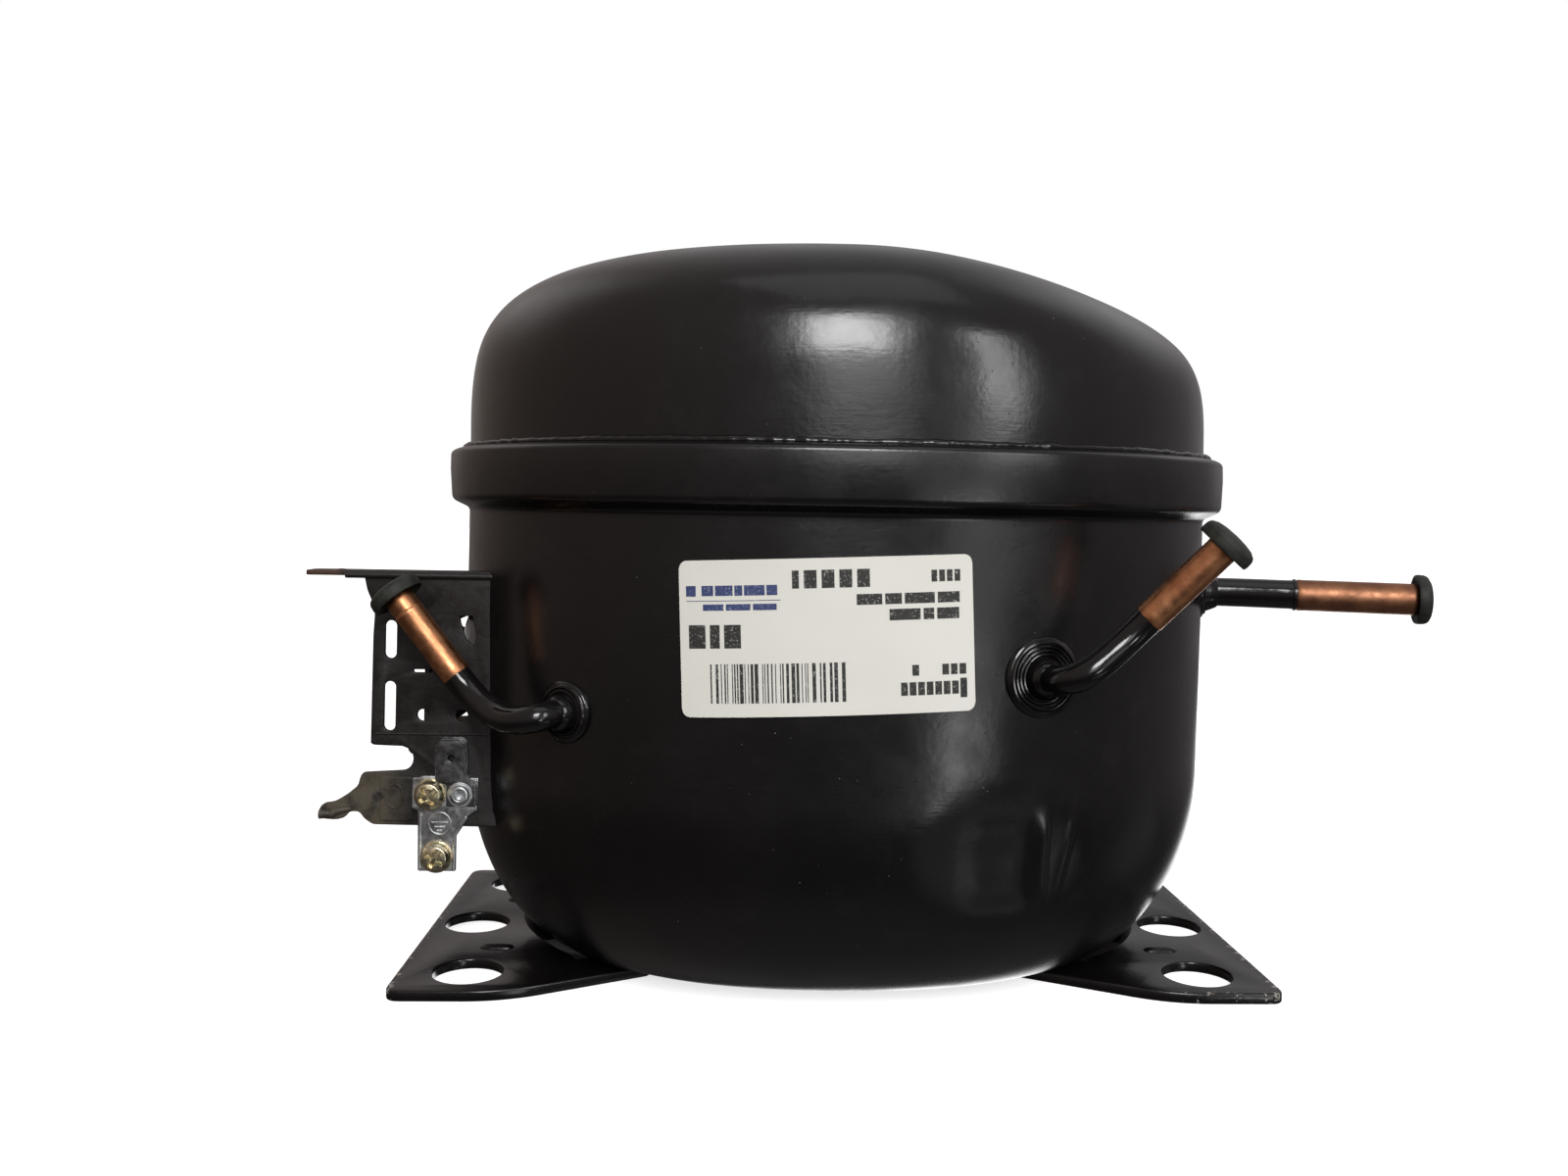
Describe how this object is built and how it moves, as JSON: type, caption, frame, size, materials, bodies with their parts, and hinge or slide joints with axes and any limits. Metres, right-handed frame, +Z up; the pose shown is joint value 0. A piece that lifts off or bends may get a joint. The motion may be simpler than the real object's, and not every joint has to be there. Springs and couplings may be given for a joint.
{
  "type": "hermetic reciprocating compressor",
  "caption": "Welded oval steel casing on two drilled feet, holding a sprung motor and cross-slide piston pump, with three plugged copper stubs, terminal bracket and earth strip.",
  "frame": {"origin": "centre of the four mounting holes, on the underside of the feet", "axes": "+Z up; +X towards the suction tube, -X towards the electrical bracket; -Y towards the labelled front"},
  "size_m": [0.2632, 0.166, 0.1725],
  "materials": {
    "shell_paint": "semi-gloss black enamel over deep-drawn steel, fine orange peel and dust specks",
    "bracket_paint": "thin satin black paint on pressed sheet, worn to olive brown at the edges",
    "copper": "drawn copper tube, satin, lightly tarnished",
    "rubber": "matt grey-black moulded rubber",
    "zinc": "bright zinc plate on sheet steel",
    "screw_zinc": "yellow zinc plate",
    "label": "white film label, satin, with plain printed blocks and lines",
    "steel": "bare steel",
    "ground_steel": "ground and phosphated steel",
    "laminations": "stacked electrical steel laminations, oiled",
    "iron": "grey iron casting, machined faces",
    "aluminium": "die-cast aluminium",
    "winding": "enamelled copper wire, laced",
    "bronze": "sintered bronze",
    "gasket": "pressed fibre gasket sheet",
    "nylon": "natural moulded plastic",
    "glass_bead": "fused glass seal",
    "lead_wire": "insulated stranded lead"
  },
  "bodies": {
    "casing": {"lower_shell": "shell_paint", "upper_shell": "shell_paint", "seam_weld": "shell_paint", "left_foot": "shell_paint", "right_foot": "shell_paint", "suction_fitting": "shell_paint", "process_fitting": "shell_paint", "discharge_fitting": "shell_paint", "suction_tube": "shell_paint", "process_tube": "shell_paint", "discharge_tube": "shell_paint", "suction_stub": "copper", "process_stub": "copper", "discharge_stub": "copper", "terminal_bracket": "bracket_paint", "terminal_body": "steel", "terminal_glass": "glass_bead", "terminal_pins": "steel", "earth_plate": "zinc", "earth_tab": "zinc", "earth_eyelet": "zinc", "earth_screws": "screw_zinc", "rating_label": "label", "lower_spring_seats": "steel", "suspension_springs": "steel", "shock_tube": "copper", "motor_leads": "lead_wire", "lead_connector": "nylon"},
    "pump": {"crankcase": "iron", "valve_plate": "ground_steel", "valve_gasket": "gasket", "head_gasket": "gasket", "cylinder_head": "aluminium", "head_bolts": "steel", "stator_core": "laminations", "upper_winding": "winding", "lower_winding": "winding", "stator_bolts": "steel", "suction_muffler": "nylon", "discharge_muffler": "steel", "upper_spring_seats": "nylon"},
    "crank": {"crankshaft": "ground_steel", "oil_pickup": "steel", "rotor_core": "laminations", "rotor_cage": "aluminium", "rotor_weight": "steel"},
    "washer": {"thrust_washer": "bronze"},
    "yoke": {"yoke": "iron", "piston": "ground_steel"},
    "block": {"slide_block": "ground_steel"},
    "suction_valve": {"suction_reed": "steel"},
    "discharge_valve": {"discharge_reed": "steel"},
    "suction_cap": {"suction_plug": "rubber"},
    "process_cap": {"process_plug": "rubber"},
    "discharge_cap": {"discharge_plug": "rubber"}
  },
  "joints": [
    {"name": "pump_float", "type": "slide", "parent": "casing", "child": "pump", "axis": [0, 0, 1], "range_m": [-0.003, 0.003], "stiffness_N_per_m": 14000, "springref_m": 0.00402, "deforming": ["suspension_springs", "shock_tube", "motor_leads"]},
    {"name": "crank_spin", "type": "hinge", "parent": "pump", "child": "crank", "pos_m": [-0.006, 0, 0.07], "axis": [0, 0, 1], "continuous": true},
    {"name": "block_turn", "type": "hinge", "parent": "crank", "child": "block", "pos_m": [-0.006, 0.006, 0.13], "axis": [0, 0, 1], "continuous": true},
    {"name": "washer_turn", "type": "hinge", "parent": "crank", "child": "washer", "pos_m": [-0.006, 0.003, 0.1155], "axis": [0, 0, 1], "continuous": true},
    {"name": "yoke_travel", "type": "hinge", "parent": "washer", "child": "yoke", "pos_m": [-0.006, 0, 0.13], "axis": [0, 0, 1], "continuous": true},
    {"name": "suction_reed_flex", "type": "hinge", "parent": "pump", "child": "suction_valve", "pos_m": [0.0502, 0.005, 0.1385], "axis": [0, 1, 0], "range_deg": [0, 3], "stiffness_Nm_per_rad": 0.02},
    {"name": "discharge_reed_flex", "type": "hinge", "parent": "pump", "child": "discharge_valve", "pos_m": [0.0532, -0.006, 0.1385], "axis": [0, -1, 0], "range_deg": [0, 5], "stiffness_Nm_per_rad": 0.02},
    {"name": "suction_plug_pull", "type": "slide", "parent": "casing", "child": "suction_cap", "axis": [0.9575, -0.2884, -0.0074], "range_m": [0, 0.04]},
    {"name": "process_plug_pull", "type": "slide", "parent": "casing", "child": "process_cap", "axis": [0.6493, -0.2405, 0.7215], "range_m": [0, 0.04]},
    {"name": "discharge_plug_pull", "type": "slide", "parent": "casing", "child": "discharge_cap", "axis": [-0.6265, 0.0921, 0.7739], "range_m": [0, 0.04]}
  ],
  "couplings": [
    {"joint": "block_turn", "follows": "crank_spin", "ratio": -1},
    {"joint": "washer_turn", "follows": "crank_spin", "ratio": -2},
    {"joint": "yoke_travel", "follows": "crank_spin", "ratio": 1}
  ]
}
